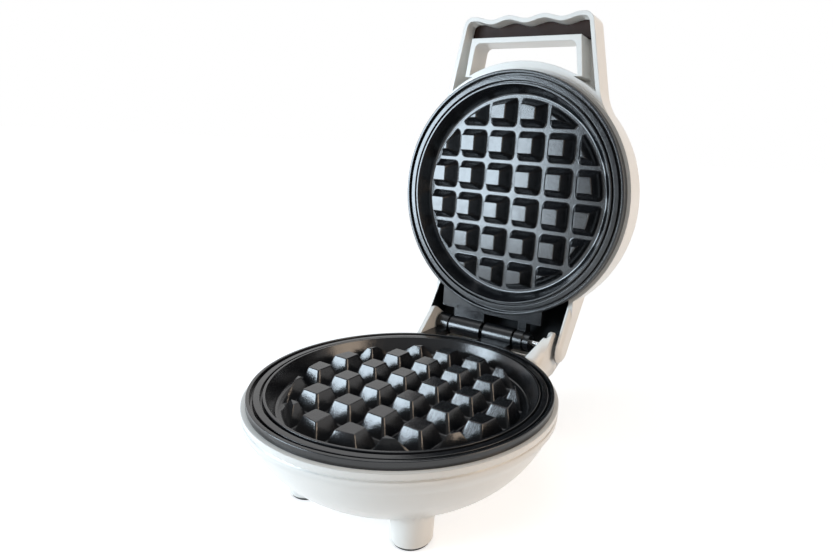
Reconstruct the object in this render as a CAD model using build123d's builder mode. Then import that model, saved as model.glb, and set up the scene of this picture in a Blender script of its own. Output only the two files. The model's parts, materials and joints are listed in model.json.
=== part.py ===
from build123d import *
import os
from math import acos, asin, atan2, cos, degrees, hypot, pi, radians, sin, sqrt

# Mini waffle maker, shown open on its stop. Millimetres, +Z up, hinge at the rear (+Y).
# The origin is on the ground, under the centre of the round plates.

# Overall sizes
rim_height = 43.0
rim_gap = 0.4
open_angle = 93.0

# Cooking plates: ring profile from the outside in
ring_radius = 59.0
lip_width = 1.3
gutter_width = 1.3
gutter_depth = 1.2
land_width = 2.5
land_drop = 0.4
groove_width = 0.7
groove_depth = 0.6
bead_width = 0.9
bead_drop = 0.2
well_depth = 7.8
well_wall_run = 3.1
well_fillet = 1.6
plate_floor = 2.4
plate_wall = 2.6
lower_band = 3.0
upper_band = 5.0

# Waffle grid
cell_pitch = 16.0
channel_width = 2.4
pyramid_top = 7.4
pyramid_height = 7.0
pyramid_corner = 0.5
grid_margin = 2.6
grid_side_run = 3.0
cells_each_way = 6
grid_root = 0.5

# Hinge: knuckles are (left face, width) along X
hinge_reach = 10.5
hinge_rise = 1.2
pin_radius = 1.5
pin_play = 0.05
knuckle_radius = 5.0
base_knuckle_left = (-31.5, 6.5)
base_knuckle_middle = (-4.0, 16.0)
lid_knuckle_wide = (-24.0, 18.0)
lid_knuckle_narrow = (13.2, 4.5)
lid_boss_radius = 4.2
lid_boss_length = 3.3
arm_drop = 0.5
apron_left = -31.0
apron_right = 25.5
apron_overhang = 1.3
apron_thickness = 2.0
apron_notch_left = -22.0
apron_notch_width = 3.0
apron_notch_depth = 1.5

# Housing walls
drum_margin = 1.6
drum_wall = 2.4
lid_top_depth = 27.0
lid_edge_radius = 7.5
lid_crown = 1.0
bowl_wall = 2.2
bowl_depth = 36.5
bowl_arc_radius = 43.2
bowl_arc_inset = 42.15
bowl_arc_rise = 4.7
crease_drop = 2.6
crease_width = 0.9
crease_depth = 0.5
shoulder_drop = 7.8

# Legs and pads
leg_top_radius = 8.5
leg_foot_radius = 7.5
leg_reach = 24.0
front_leg_x = 25.0
front_leg_y = -27.0
rear_leg_x = 18.0
rear_leg_setback = 9.5
pad_radius = 6.8
pad_thickness = 1.5
pad_stem_radius = 2.6
pad_stem_length = 4.0

# Hinge cheeks and rear box of the base
cheek_outer = 34.5
cheek_thickness = 2.2
ear_radius = 5.4
cheek_front_reach = 16.0
cheek_front_drop = 1.0
cheek_top_reach = 6.0
cheek_top_rise = 8.8
cheek_flat = 2.5
cheek_foot_slant = 8.0
gusset_root_x = 26.0
gusset_top_x = 32.0
rear_wall_reach = 5.5
rear_wall_thickness = 2.0
rear_wall_drop = 8.8
rear_web_inset = 8.0
rear_box_half_width = 28.0
rear_box_inset = 12.0
rear_box_slant = 2.0
rear_box_corner = 5.0
hinge_bay_drop = 6.5
hinge_bay_inset = 14.0
hinge_bay_lead = 2.0
swing_gap = 0.4

# Cord inlet
gland_height = 24.5
gland_radius = 4.5
gland_bore_radius = 3.0
gland_flange_radius = 6.5
gland_flange_thickness = 1.5
gland_margin = 1.0
gland_neck_length = 6.0

# Lid tail
tail_outer = 38.7
tail_wall = 2.2
tail_end_radius = 7.6
tail_end_wall = 1.8
tail_slope = 35.0
tail_side_fillet = 5.0
tail_lip_angle = 15.0
stop_gap_angle = 2.0
tail_arm_reach = 23.0

# Handle
handle_half_root = 40.5
handle_root_inset = 9.0
handle_half_tip = 34.0
handle_tip_length = 23.0
handle_length = 25.25
scallop_pitch = 18.65
scallop_height = 0.9
handle_corner_radius = 5.0
handle_blend_radius = 25.0
handle_wall = 2.0
handle_floor = 1.6
hole_half_width = 26.5
hole_root_half_width = 29.0
hole_arc_margin = 3.4
hole_length = 13.6
hole_root_sink = 4.0
hole_corner_radius = 3.0
bridge_wall = 2.4
insert_play = 0.2
insert_depth = 4.0

# Heating and inner pieces
element_inset = 11.2
element_tube_radius = 3.2
element_gap = 0.3
element_opening = 30.0
element_pin_radius = 1.2
element_pin_length = 6.0
boss_circle_radius = 27.0
boss_radius = 4.0
boss_length = 7.5
boss_count = 4
boss_start_angle = 45.0
screw_radius = 1.5
screw_play = 0.15
screw_head_radius = 2.8
screw_head_height = 1.8
screw_bite = 3.5
pan_inset = 3.2
pan_thickness = 0.6
pan_lip = 5.0
pin_hole_play = 1.0

# Thermostat, fuse and lamps in the lid
post_circle_radius = 34.0
post_radius = 3.0
post_count = 3
thermostat_radius = 6.5
thermostat_height = 7.0
thermostat_lug_width = 5.0
thermostat_lug_length = 20.0
thermostat_lug_thickness = 0.8
fuse_radius = 2.0
fuse_length = 12.0
fuse_y = 14.0
lens_radius = 2.5
lens_flange_radius = 3.3
lens_flange_height = 1.0
lens_proud = 0.4
lens_spacing = 14.0
lens_v = 40.0
lens_play = 0.05
lamp_radius = 2.0
lamp_gap = 0.3
holder_thickness = 1.2
holder_margin = 4.0
terminal_width = 18.0
terminal_depth = 9.0
terminal_height = 8.0
terminal_y = 8.0

# Derived places
axis_z = rim_height + hinge_rise
hinge_y = ring_radius + hinge_reach
apron_reach = ring_radius + apron_overhang
drum_radius = ring_radius + drum_margin
bowl_arc_center_radius = drum_radius - bowl_arc_inset
rear_wall_y = hinge_y + rear_wall_reach
rear_leg_y = hinge_y - rear_leg_setback
rear_box_low = gland_height - gland_flange_radius - gland_margin
cheek_front_y = hinge_y - cheek_front_reach
cheek_top_y = hinge_y - cheek_top_reach
tail_arm_front = hinge_y - tail_arm_reach
handle_root_v = ring_radius - handle_root_inset
handle_tip_v = ring_radius + handle_tip_length
handle_end_v = ring_radius + handle_length
hole_arc_radius = drum_radius + hole_arc_margin
hole_far_v = ring_radius + hole_length
open_turn = radians(open_angle)
lid_up = Vector(0, sin(open_turn), cos(open_turn))
lid_back = Vector(0, cos(open_turn), -sin(open_turn))
lid_origin = Vector(0, hinge_y, axis_z) - lid_back * hinge_y - lid_up * axis_z

# Lid pieces are drawn shut, in base heights, and this plane carries them to the open pose.
base_space = Plane.XY
lid_space = Plane(origin=lid_origin, x_dir=(1, 0, 0), z_dir=lid_up)
lid_rim = rim_height + rim_gap
lower_face = base_space.offset(rim_height)
upper_face = Plane(origin=lid_space.offset(lid_rim).origin, x_dir=(1, 0, 0), z_dir=-lid_up)

inner_ledge = ring_radius - lip_width - gutter_width - land_width - groove_width
well_top_radius = inner_ledge - bead_width
well_floor_radius = well_top_radius - well_wall_run
plate_back = well_depth + plate_floor
grid_radius = well_floor_radius - grid_margin
element_radius = well_floor_radius - element_inset
pan_radius = well_floor_radius - pan_inset


def section(space):
    """Upright XZ plane through the middle of a space."""
    return Plane(origin=space.origin, x_dir=space.x_dir, z_dir=-space.y_dir)


def side(space, x):
    """Upright YZ plane of a space at one X."""
    return Plane(origin=space.origin + space.x_dir * x, x_dir=space.y_dir, z_dir=space.x_dir)


def upright(space):
    """Axis through the middle of a space."""
    return Axis(space.origin, space.z_dir)


# Both cooking plates share one blank and one grid.
def plate_blank(face, band):
    """Ring, well and outer wall of a plate, turned about its middle."""
    lip_in = ring_radius - lip_width
    gutter_in = lip_in - gutter_width
    land_in = gutter_in - land_width
    wall_slope = well_wall_run / (well_depth - bead_drop)
    wall_at_band = well_top_radius - wall_slope * (band - bead_drop)
    with BuildPart() as blank:
        with BuildSketch(section(face)) as ring_profile:
            with BuildLine():
                Polyline(
                    (0, -well_depth),
                    (well_floor_radius, -well_depth),
                    (well_top_radius, -bead_drop),
                    (inner_ledge, -bead_drop),
                    (inner_ledge, -groove_depth),
                    (land_in, -groove_depth),
                    (land_in, -land_drop),
                    (gutter_in, -land_drop),
                    (gutter_in, -gutter_depth),
                    (lip_in, -gutter_depth),
                    (lip_in, 0),
                    (ring_radius, 0),
                    (ring_radius, -band),
                    (wall_at_band + plate_wall, -band),
                    (well_floor_radius + plate_wall - plate_floor * wall_slope, -plate_back),
                    (0, -plate_back),
                    close=True,
                )
            make_face()
            well_foot = ring_profile.vertices().sort_by_distance((well_floor_radius, -well_depth))
            fillet(well_foot[0], radius=well_fillet)
        revolve(axis=upright(face))
        # Screw bosses on the back
        with BuildSketch(face.offset(-plate_back)):
            with PolarLocations(boss_circle_radius, boss_count, start_angle=boss_start_angle):
                Circle(boss_radius)
        extrude(amount=-boss_length)
        with BuildSketch(face.offset(-plate_back - boss_length)):
            with PolarLocations(boss_circle_radius, boss_count, start_angle=boss_start_angle):
                Circle(screw_radius + screw_play)
        extrude(amount=screw_bite + 1, mode=Mode.SUBTRACT)
    return blank.part


def waffle_grid(face):
    """Pyramids with corners that widen towards the floor, trimmed round by a cone."""
    draft = atan2((cell_pitch - channel_width - pyramid_top) / 2, pyramid_height)
    tops = Plane(
        origin=face.offset(pyramid_height - well_depth).origin,
        x_dir=face.x_dir,
        z_dir=-face.z_dir,
    )
    with BuildPart() as grid:
        with BuildSketch(tops):
            with GridLocations(cell_pitch, cell_pitch, cells_each_way, cells_each_way):
                RectangleRounded(pyramid_top, pyramid_top, pyramid_corner)
        extrude(amount=pyramid_height + grid_root, taper=-degrees(draft))
        with BuildSketch(section(face)):
            with BuildLine():
                Polyline(
                    (0, -well_depth - grid_root),
                    (grid_radius, -well_depth - grid_root),
                    (grid_radius, -well_depth),
                    (grid_radius - grid_side_run, -well_depth + pyramid_height),
                    (0, -well_depth + pyramid_height),
                    close=True,
                )
            make_face()
        revolve(axis=upright(face), mode=Mode.INTERSECT)
    return grid.part


def knuckles(space, spans, low, high, reach_in):
    """Knuckles about the hinge axis with their arms, clear of the plate's gutter."""
    with BuildPart() as arms:
        for left, width in spans:
            with BuildSketch(side(space, left)):
                with Locations((hinge_y, axis_z)):
                    Circle(knuckle_radius)
                with Locations(((reach_in + hinge_y) / 2, (low + high) / 2)):
                    Rectangle(hinge_y - reach_in, high - low)
            extrude(amount=width)
        with BuildSketch(space.offset(low - 1)):
            Circle(ring_radius - lip_width / 2)
        extrude(amount=high - low + 2, mode=Mode.SUBTRACT)
    return arms.part


lower_blank = plate_blank(lower_face, lower_band)
lower_grid = waffle_grid(lower_face)
lower_arms = knuckles(
    base_space,
    (base_knuckle_left, base_knuckle_middle),
    axis_z - knuckle_radius,
    rim_height - arm_drop,
    ring_radius - 12,
)
upper_blank = plate_blank(upper_face, upper_band)
upper_grid = waffle_grid(upper_face)
upper_arms = knuckles(
    lid_space,
    (lid_knuckle_wide, lid_knuckle_narrow),
    lid_rim + arm_drop,
    axis_z + knuckle_radius,
    apron_reach - 2,
)

# Lower plate
with BuildPart() as lower_plate:
    add(lower_blank)
    add(lower_grid)
    add(lower_arms)
    with BuildSketch(side(base_space, -tail_outer)):
        with Locations((hinge_y, axis_z)):
            Circle(pin_radius + pin_play)
    extrude(amount=2 * tail_outer, mode=Mode.SUBTRACT)
lower_plate.part.label = "lower_plate"

# Upper plate, with the apron that carries its knuckles
narrow_left, narrow_width = lid_knuckle_narrow
with BuildPart() as upper_plate:
    add(upper_blank)
    add(upper_grid)
    with BuildSketch(lid_space.offset(lid_rim)) as apron:
        with Locations(((apron_left + apron_right) / 2, apron_reach / 2)):
            Rectangle(apron_right - apron_left, apron_reach)
        with Locations((apron_notch_left + apron_notch_width / 2, apron_reach)):
            Rectangle(apron_notch_width, 2 * apron_notch_depth, mode=Mode.SUBTRACT)
        Circle(ring_radius - lip_width / 2, mode=Mode.SUBTRACT)
        split(bisect_by=Plane.XZ.offset(-ring_radius / 2), keep=Keep.BOTTOM)
    extrude(amount=apron_thickness)
    add(upper_arms)
    with BuildSketch(side(lid_space, narrow_left + narrow_width)):
        with Locations((hinge_y, axis_z)):
            Circle(lid_boss_radius)
    extrude(amount=lid_boss_length)
    with BuildSketch(side(lid_space, -tail_outer)):
        with Locations((hinge_y, axis_z)):
            Circle(pin_radius + pin_play)
    extrude(amount=2 * tail_outer, mode=Mode.SUBTRACT)
upper_plate.part.label = "upper_plate"

# Bowl of the base: a collar under the plate's ring, a crease and one round arc to the bottom
collar_top = rim_height - lower_band
bowl_bottom = rim_height - bowl_depth
arc_center_z = rim_height + bowl_arc_rise


def bowl_radius(z, inset):
    """Radius of the bowl's arc at one height."""
    return bowl_arc_center_radius + sqrt((bowl_arc_radius - inset) ** 2 - (z - arc_center_z) ** 2)


def bowl_profile(inset, top, bottom):
    """Half section of the bowl, drawn in by an inset."""
    shoulder = top - shoulder_drop
    middle = (shoulder + bottom) / 2
    Line((0, bottom), (bowl_radius(bottom, inset), bottom))
    ThreePointArc(
        (bowl_radius(bottom, inset), bottom),
        (bowl_radius(middle, inset), middle),
        (bowl_radius(shoulder, inset), shoulder),
    )
    Polyline(
        (bowl_radius(shoulder, inset), shoulder),
        (drum_radius - inset, shoulder + crease_drop),
        (drum_radius - inset, top),
        (0, top),
        (0, bottom),
    )


# Gusset that carries each cheek from the collar
cheek_inner = cheek_outer - cheek_thickness
gusset_low = collar_top - shoulder_drop
cheek_top = axis_z + cheek_top_rise


def cheek_outline():
    """Side view of a cheek: sloped front, flat top, round ear and neck down to the rear wall."""
    ear_start = radians(40)
    ear_end = radians(tail_lip_angle - open_angle - stop_gap_angle)
    ear_middle = (ear_start + ear_end) / 2
    Polyline(
        (hinge_y + ear_radius * cos(ear_end), axis_z + ear_radius * sin(ear_end)),
        (hinge_y + ear_radius * cos(ear_end), axis_z - rear_wall_drop),
        (rear_wall_y, axis_z - rear_wall_drop),
        (rear_wall_y - cheek_foot_slant, gusset_low),
        (cheek_front_y - cheek_foot_slant, gusset_low),
        (cheek_front_y - cheek_front_drop, rim_height - cheek_front_drop),
        (cheek_top_y, cheek_top),
        (cheek_top_y + cheek_flat, cheek_top),
        (hinge_y + ear_radius * cos(ear_start), axis_z + ear_radius * sin(ear_start)),
    )
    ThreePointArc(
        (hinge_y + ear_radius * cos(ear_start), axis_z + ear_radius * sin(ear_start)),
        (hinge_y + ear_radius * cos(ear_middle), axis_z + ear_radius * sin(ear_middle)),
        (hinge_y + ear_radius * cos(ear_end), axis_z + ear_radius * sin(ear_end)),
    )


with BuildPart() as cheek:
    with BuildSketch(side(base_space, gusset_root_x)):
        with BuildLine():
            cheek_outline()
        make_face()
    extrude(amount=cheek_outer - gusset_root_x)
    # The inner side leans: wide at the collar, cheek thickness at the ear
    with BuildSketch(section(base_space)):
        with BuildLine():
            Polyline(
                (0, rim_height),
                (gusset_root_x, rim_height),
                (gusset_top_x, cheek_top),
                (gusset_top_x, cheek_top + 1),
                (0, cheek_top + 1),
                close=True,
            )
        make_face()
    extrude(amount=-rear_wall_y - 1, mode=Mode.SUBTRACT)
    # The bay for the knuckles stays open between the cheeks
    with BuildSketch(side(base_space, 0)):
        with Locations((cheek_top_y - hinge_bay_lead, axis_z)):
            Rectangle(rear_wall_y, 2 * rear_wall_drop, align=(Align.MIN, Align.CENTER))
    extrude(amount=cheek_inner, mode=Mode.SUBTRACT)


def rear_box(inset):
    """Box behind the bowl for the cord inlet, with a slanted underside, drawn in by an inset."""
    half_width = rear_box_half_width - inset
    front = ring_radius - rear_box_inset
    low = rear_box_low + inset
    with BuildPart() as box:
        with BuildSketch(side(base_space, -half_width)):
            with BuildLine():
                Polyline(
                    (rear_wall_y - inset, axis_z - rear_wall_drop),
                    (rear_wall_y - inset, low),
                    (front, low - rear_box_slant),
                    (front, axis_z - rear_wall_drop),
                    close=True,
                )
            make_face()
        extrude(amount=2 * half_width)
        rear_edges = box.edges().filter_by(Axis.Z).group_by(Axis.Y)[-1]
        fillet(rear_edges, radius=rear_box_corner - inset)
    return box.part


# Base shell
with BuildPart() as base_shell:
    with BuildSketch(section(base_space)):
        with BuildLine():
            bowl_profile(0, collar_top, bowl_bottom)
        make_face()
    revolve(axis=upright(base_space))
    # Crease under the collar
    with BuildSketch(section(base_space)):
        with Locations((drum_radius, collar_top - crease_drop)):
            Rectangle(2 * crease_depth, crease_width)
    revolve(axis=upright(base_space), mode=Mode.SUBTRACT)
    # Front legs
    leg_taper = degrees((leg_top_radius - leg_foot_radius) / leg_reach)
    with BuildSketch(base_space.offset(pad_thickness)):
        with Locations((-front_leg_x, front_leg_y), (front_leg_x, front_leg_y)):
            Circle(leg_foot_radius)
    extrude(amount=leg_reach, taper=-leg_taper)
    # Rear legs, under the box for the cord inlet
    with BuildSketch(base_space.offset(pad_thickness)):
        with Locations((-rear_leg_x, rear_leg_y), (rear_leg_x, rear_leg_y)):
            Circle(leg_foot_radius)
    extrude(amount=rear_box_low - pad_thickness, taper=-leg_taper)
    add(rear_box(0))
    # Upper part of the rear wall, out to the cheeks
    with BuildSketch(side(base_space, -cheek_outer)):
        with BuildLine():
            Polyline(
                (rear_wall_y, axis_z - rear_wall_drop),
                (rear_wall_y - cheek_foot_slant, gusset_low),
                (ring_radius - rear_web_inset, gusset_low),
                (ring_radius - rear_web_inset, axis_z - rear_wall_drop),
                close=True,
            )
        make_face()
    extrude(amount=2 * cheek_outer)
    add(cheek.part)
    mirror(cheek.part, about=Plane.YZ)
    # Hollow of the bowl
    with BuildSketch(section(base_space)):
        with BuildLine():
            bowl_profile(bowl_wall, collar_top + 1, bowl_bottom + bowl_wall)
        make_face()
    revolve(axis=upright(base_space), mode=Mode.SUBTRACT)
    # Hollow of the rear box
    add(rear_box(rear_wall_thickness), mode=Mode.SUBTRACT)
    # Bay under the knuckles and arms, stopped short of the right gusset
    bay_front = ring_radius - hinge_bay_inset
    bay_middle = cheek_top_y - hinge_bay_lead
    bay_rear = rear_wall_y - rear_wall_thickness
    for bay_start, bay_end, bay_right in (
        (bay_front, bay_middle, gusset_root_x),
        (bay_middle, bay_rear, cheek_inner),
    ):
        with BuildSketch(side(base_space, -cheek_inner)):
            with Locations((bay_start, rim_height - hinge_bay_drop)):
                Rectangle(bay_end - bay_start, 3 * hinge_bay_drop, align=(Align.MIN, Align.MIN))
        extrude(amount=cheek_inner + bay_right, mode=Mode.SUBTRACT)
    # Seat that clears both plates' rings
    with BuildSketch(base_space.offset(collar_top)):
        Circle(ring_radius + swing_gap)
    extrude(amount=cheek_top - collar_top + 1, mode=Mode.SUBTRACT)
    # Bosses from the floor up to the plate's bosses, with counterbored screw holes from below
    boss_top = rim_height - plate_back - boss_length - pan_thickness
    with BuildSketch(base_space.offset(bowl_bottom)):
        with PolarLocations(boss_circle_radius, boss_count, start_angle=boss_start_angle):
            Circle(boss_radius + 1)
    extrude(amount=boss_top - bowl_bottom)
    with Locations(Plane(origin=(0, 0, bowl_bottom), x_dir=(1, 0, 0), z_dir=(0, 0, -1))):
        with PolarLocations(boss_circle_radius, boss_count, start_angle=boss_start_angle):
            CounterBoreHole(
                radius=screw_radius + screw_play,
                counter_bore_radius=screw_head_radius + screw_play,
                counter_bore_depth=screw_head_height + 1,
                depth=boss_top - bowl_bottom + 1,
            )
    # Sockets for the pads' stems
    with BuildSketch(base_space.offset(pad_thickness)):
        with Locations((-front_leg_x, front_leg_y), (front_leg_x, front_leg_y)):
            Circle(pad_stem_radius + pin_play)
        with Locations((-rear_leg_x, rear_leg_y), (rear_leg_x, rear_leg_y)):
            Circle(pad_stem_radius + pin_play)
    extrude(amount=pad_stem_length + 0.5, mode=Mode.SUBTRACT)
    # Pin holes through the cheeks
    with BuildSketch(side(base_space, -tail_outer)):
        with Locations((hinge_y, axis_z)):
            Circle(pin_radius + pin_play)
    extrude(amount=2 * tail_outer, mode=Mode.SUBTRACT)
    # Cord inlet
    with BuildSketch(section(base_space)):
        with Locations((0, gland_height)):
            Circle(gland_radius + pin_play)
    extrude(amount=-rear_wall_y - 1, mode=Mode.SUBTRACT, both=False)
base_shell.part.label = "base_shell"

# Foot pads
pads = []
for pad_name, pad_x, pad_y in (
    ("foot_pad_front_left", -front_leg_x, front_leg_y),
    ("foot_pad_front_right", front_leg_x, front_leg_y),
    ("foot_pad_rear_left", -rear_leg_x, rear_leg_y),
    ("foot_pad_rear_right", rear_leg_x, rear_leg_y),
):
    with BuildPart() as foot_pad:
        with BuildSketch(base_space):
            with Locations((pad_x, pad_y)):
                Circle(pad_radius)
        extrude(amount=pad_thickness)
        with BuildSketch(base_space.offset(pad_thickness)):
            with Locations((pad_x, pad_y)):
                Circle(pad_stem_radius)
        extrude(amount=pad_stem_length)
        chamfer(foot_pad.edges().filter_by(GeomType.CIRCLE).sort_by(Axis.Z)[0], length=0.4)
    foot_pad.part.label = pad_name
    pads.append(foot_pad.part)

# Hinge pin, headed at the left, with a push-on ring at the right
pin_head_thickness = 1.0
pin_head_radius = 2.6
with BuildPart() as hinge_pin:
    with BuildSketch(side(base_space, -cheek_outer - swing_gap / 4)):
        with Locations((hinge_y, axis_z)):
            Circle(pin_radius)
    extrude(amount=2 * cheek_outer + pin_head_thickness + swing_gap)
    with BuildSketch(side(base_space, -cheek_outer - swing_gap / 4)):
        with Locations((hinge_y, axis_z)):
            Circle(pin_head_radius)
    extrude(amount=-pin_head_thickness)
hinge_pin.part.label = "hinge_pin"

with BuildPart() as pin_retainer:
    with BuildSketch(side(base_space, cheek_outer + swing_gap / 4)):
        with Locations((hinge_y, axis_z)):
            Circle(pin_head_radius)
            Circle(pin_radius + pin_play / 5, mode=Mode.SUBTRACT)
    extrude(amount=pin_head_thickness)
pin_retainer.part.label = "pin_retainer"

# Cord gland, pushed into the rear wall
with BuildPart() as cord_gland:
    with BuildSketch(Plane(origin=(0, rear_wall_y, gland_height), x_dir=(1, 0, 0), z_dir=(0, 1, 0))):
        Circle(gland_flange_radius)
    extrude(amount=gland_flange_thickness)
    with BuildSketch(Plane(origin=(0, rear_wall_y, gland_height), x_dir=(1, 0, 0), z_dir=(0, -1, 0))):
        Circle(gland_radius)
    extrude(amount=gland_neck_length)
    with BuildSketch(Plane(origin=(0, rear_wall_y, gland_height), x_dir=(1, 0, 0), z_dir=(0, -1, 0))):
        Circle(gland_bore_radius)
    extrude(amount=gland_neck_length + gland_flange_thickness, both=True, mode=Mode.SUBTRACT)
cord_gland.part.label = "cord_gland"

# Terminal block on the bowl's floor
with BuildPart() as terminal_block:
    with BuildSketch(base_space.offset(bowl_bottom + bowl_wall)):
        with Locations((0, terminal_y)):
            Rectangle(terminal_width, terminal_depth)
    extrude(amount=terminal_height)
    block_top = bowl_bottom + bowl_wall + terminal_height
    with BuildSketch(base_space.offset(block_top)):
        with Locations((0, terminal_y)):
            with GridLocations(terminal_width / 3, 1, 3, 1):
                Circle(screw_radius)
    extrude(amount=-terminal_height / 2, mode=Mode.SUBTRACT)
terminal_block.part.label = "terminal_block"


element_end_angles = (element_opening / 2 - 90, 270 - element_opening / 2)


def heating_element(face):
    """Open ring of tube behind a plate, its two cold ends bent away from the plate."""
    depth = plate_back + element_gap + element_tube_radius
    first_end, last_end = element_end_angles
    turn_plane = Plane(
        origin=face.offset(-depth).origin,
        x_dir=face.x_dir * cos(radians(first_end)) + face.y_dir * sin(radians(first_end)),
        z_dir=face.x_dir * sin(radians(first_end)) - face.y_dir * cos(radians(first_end)),
    )
    with BuildPart() as element:
        with BuildSketch(turn_plane):
            with Locations((element_radius, 0)):
                Circle(element_tube_radius)
        revolve(axis=upright(face), revolution_arc=360 - element_opening)
        with BuildSketch(face.offset(-depth)):
            for angle in element_end_angles:
                with PolarLocations(element_radius, 1, start_angle=angle):
                    Circle(element_pin_radius)
        extrude(amount=-element_tube_radius - element_pin_length)
    return element.part


def reflector_pan(face):
    """Shallow steel pan that rests on the plate's bosses, its rim turned towards the plate."""
    seat = face.offset(-plate_back - boss_length)
    with BuildPart() as pan:
        with BuildSketch(seat):
            Circle(pan_radius)
        extrude(amount=-pan_thickness)
        with BuildSketch(seat):
            Circle(pan_radius)
            Circle(pan_radius - pan_thickness, mode=Mode.SUBTRACT)
        extrude(amount=pan_lip)
        with BuildSketch(seat):
            with PolarLocations(boss_circle_radius, boss_count, start_angle=boss_start_angle):
                Circle(screw_radius + screw_play)
            for angle in element_end_angles:
                with PolarLocations(element_radius, 1, start_angle=angle):
                    Circle(element_pin_radius + pin_hole_play)
        extrude(amount=-pan_thickness, mode=Mode.SUBTRACT)
    return pan.part


def boss_screws(plane, shank_length):
    """Pan-head screws on the boss circle, heads on the plane, shanks along its normal."""
    with BuildPart() as screws:
        with BuildSketch(plane):
            with PolarLocations(boss_circle_radius, boss_count, start_angle=boss_start_angle):
                Circle(screw_radius)
        extrude(amount=shank_length)
        with BuildSketch(plane):
            with PolarLocations(boss_circle_radius, boss_count, start_angle=boss_start_angle):
                Circle(screw_head_radius)
        extrude(amount=-screw_head_height)
    return screws.part




# Heating pieces of the base
pan_depth = plate_back + boss_length
lower_element_solid = heating_element(lower_face)
with BuildPart() as lower_element:
    add(lower_element_solid)
lower_element.part.label = "lower_element"

lower_pan_solid = reflector_pan(lower_face)
with BuildPart() as lower_reflector:
    add(lower_pan_solid)
lower_reflector.part.label = "lower_reflector"

# Screws from below, through the bowl's bosses and the pan into the plate
base_screw_seat = base_space.offset(bowl_bottom + screw_head_height + 1)
base_shank = boss_top + pan_thickness + screw_bite - bowl_bottom - screw_head_height - 1
base_screw_solids = boss_screws(base_screw_seat, base_shank)
with BuildPart() as base_screws:
    add(base_screw_solids)
base_screws.part.label = "base_screws"

# Heating pieces of the lid
upper_element_solid = heating_element(upper_face)
with BuildPart() as upper_element:
    add(upper_element_solid)
upper_element.part.label = "upper_element"

upper_pan_solid = reflector_pan(upper_face)
with BuildPart() as upper_reflector:
    add(upper_pan_solid)
upper_reflector.part.label = "upper_reflector"

upper_screw_solids = boss_screws(upper_face.offset(-pan_depth - pan_thickness), pan_thickness + screw_bite)
with BuildPart() as upper_reflector_screws:
    add(upper_screw_solids)
upper_reflector_screws.part.label = "upper_reflector_screws"

# Snap disc thermostat against the back of the upper plate, held by two lugs
with BuildPart() as thermostat:
    with BuildSketch(upper_face.offset(-plate_back)):
        RectangleRounded(thermostat_lug_length, thermostat_lug_width, thermostat_lug_width / 2.1)
    extrude(amount=-thermostat_lug_thickness)
    with BuildSketch(upper_face.offset(-plate_back)):
        Circle(thermostat_radius)
    extrude(amount=-thermostat_height)
thermostat.part.label = "thermostat"

# Thermal fuse, lying along X on the back of the upper plate
with BuildPart() as thermal_fuse:
    with BuildSketch(side(upper_face.offset(-plate_back - fuse_radius - pin_play), -fuse_length / 2)):
        with Locations((fuse_y, 0)):
            Circle(fuse_radius)
    extrude(amount=fuse_length)
thermal_fuse.part.label = "thermal_fuse"

# Lid shell
lid_edge = lid_rim + upper_band
lid_top = lid_rim + lid_top_depth
edge_center_radius = drum_radius - lid_edge_radius
edge_center_z = lid_top - lid_crown - lid_edge_radius
tail_normal = radians(90 - tail_slope)
handle_front = lid_edge + 1
handle_back = edge_center_z
crest_x = 1.5 * scallop_pitch


def crown_height(radius, inset):
    """Height of the crowned top at one radius, drawn in by an inset."""
    return lid_top - inset - lid_crown * (radius / edge_center_radius) ** 2


def lid_profile(inset, low):
    """Half section of the drum: straight side, round edge, crowned top."""
    round_radius = lid_edge_radius - inset
    middle = round_radius * sin(pi / 4)
    Polyline((0, low), (drum_radius - inset, low), (drum_radius - inset, edge_center_z))
    ThreePointArc(
        (drum_radius - inset, edge_center_z),
        (edge_center_radius + middle, edge_center_z + middle),
        (edge_center_radius, edge_center_z + round_radius),
    )
    Spline(
        (edge_center_radius, edge_center_z + round_radius),
        (edge_center_radius / 2, crown_height(edge_center_radius / 2, inset)),
        (0, lid_top - inset),
        tangents=((-1, 2 * lid_crown / edge_center_radius), (-1, 0)),
    )
    Line((0, lid_top - inset), (0, low))


def about_axis(radius, angle):
    """Point of the tail's side view at a radius and angle about the hinge axis."""
    return (hinge_y + radius * cos(angle), axis_z + radius * sin(angle))


def ramp_top(radius, top):
    """Where the tail's ramp, tangent to a circle about the axis, reaches a height."""
    foot_y, foot_z = about_axis(radius, tail_normal)
    run = (top - foot_z) / cos(tail_normal)
    return (foot_y - run * sin(tail_normal), top)


def lower_tangent():
    """Angle where the arm's lower edge, from the drum's edge, touches the round end."""
    run = tail_arm_front - hinge_y
    rise = lid_edge - axis_z
    reach = hypot(run, rise)
    point_angle = pi - asin(rise / reach)
    return point_angle + acos(tail_end_radius / reach)


tail_root_y = drum_radius / 2
tail_top = edge_center_z + lid_edge_radius
cavity_top = tail_top - drum_wall - lid_crown / 2
cavity_radius = tail_end_radius - tail_end_wall
lip_angle = radians(tail_lip_angle)
ramp_out = lid_back * cos(tail_normal) + lid_up * sin(tail_normal)

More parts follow.
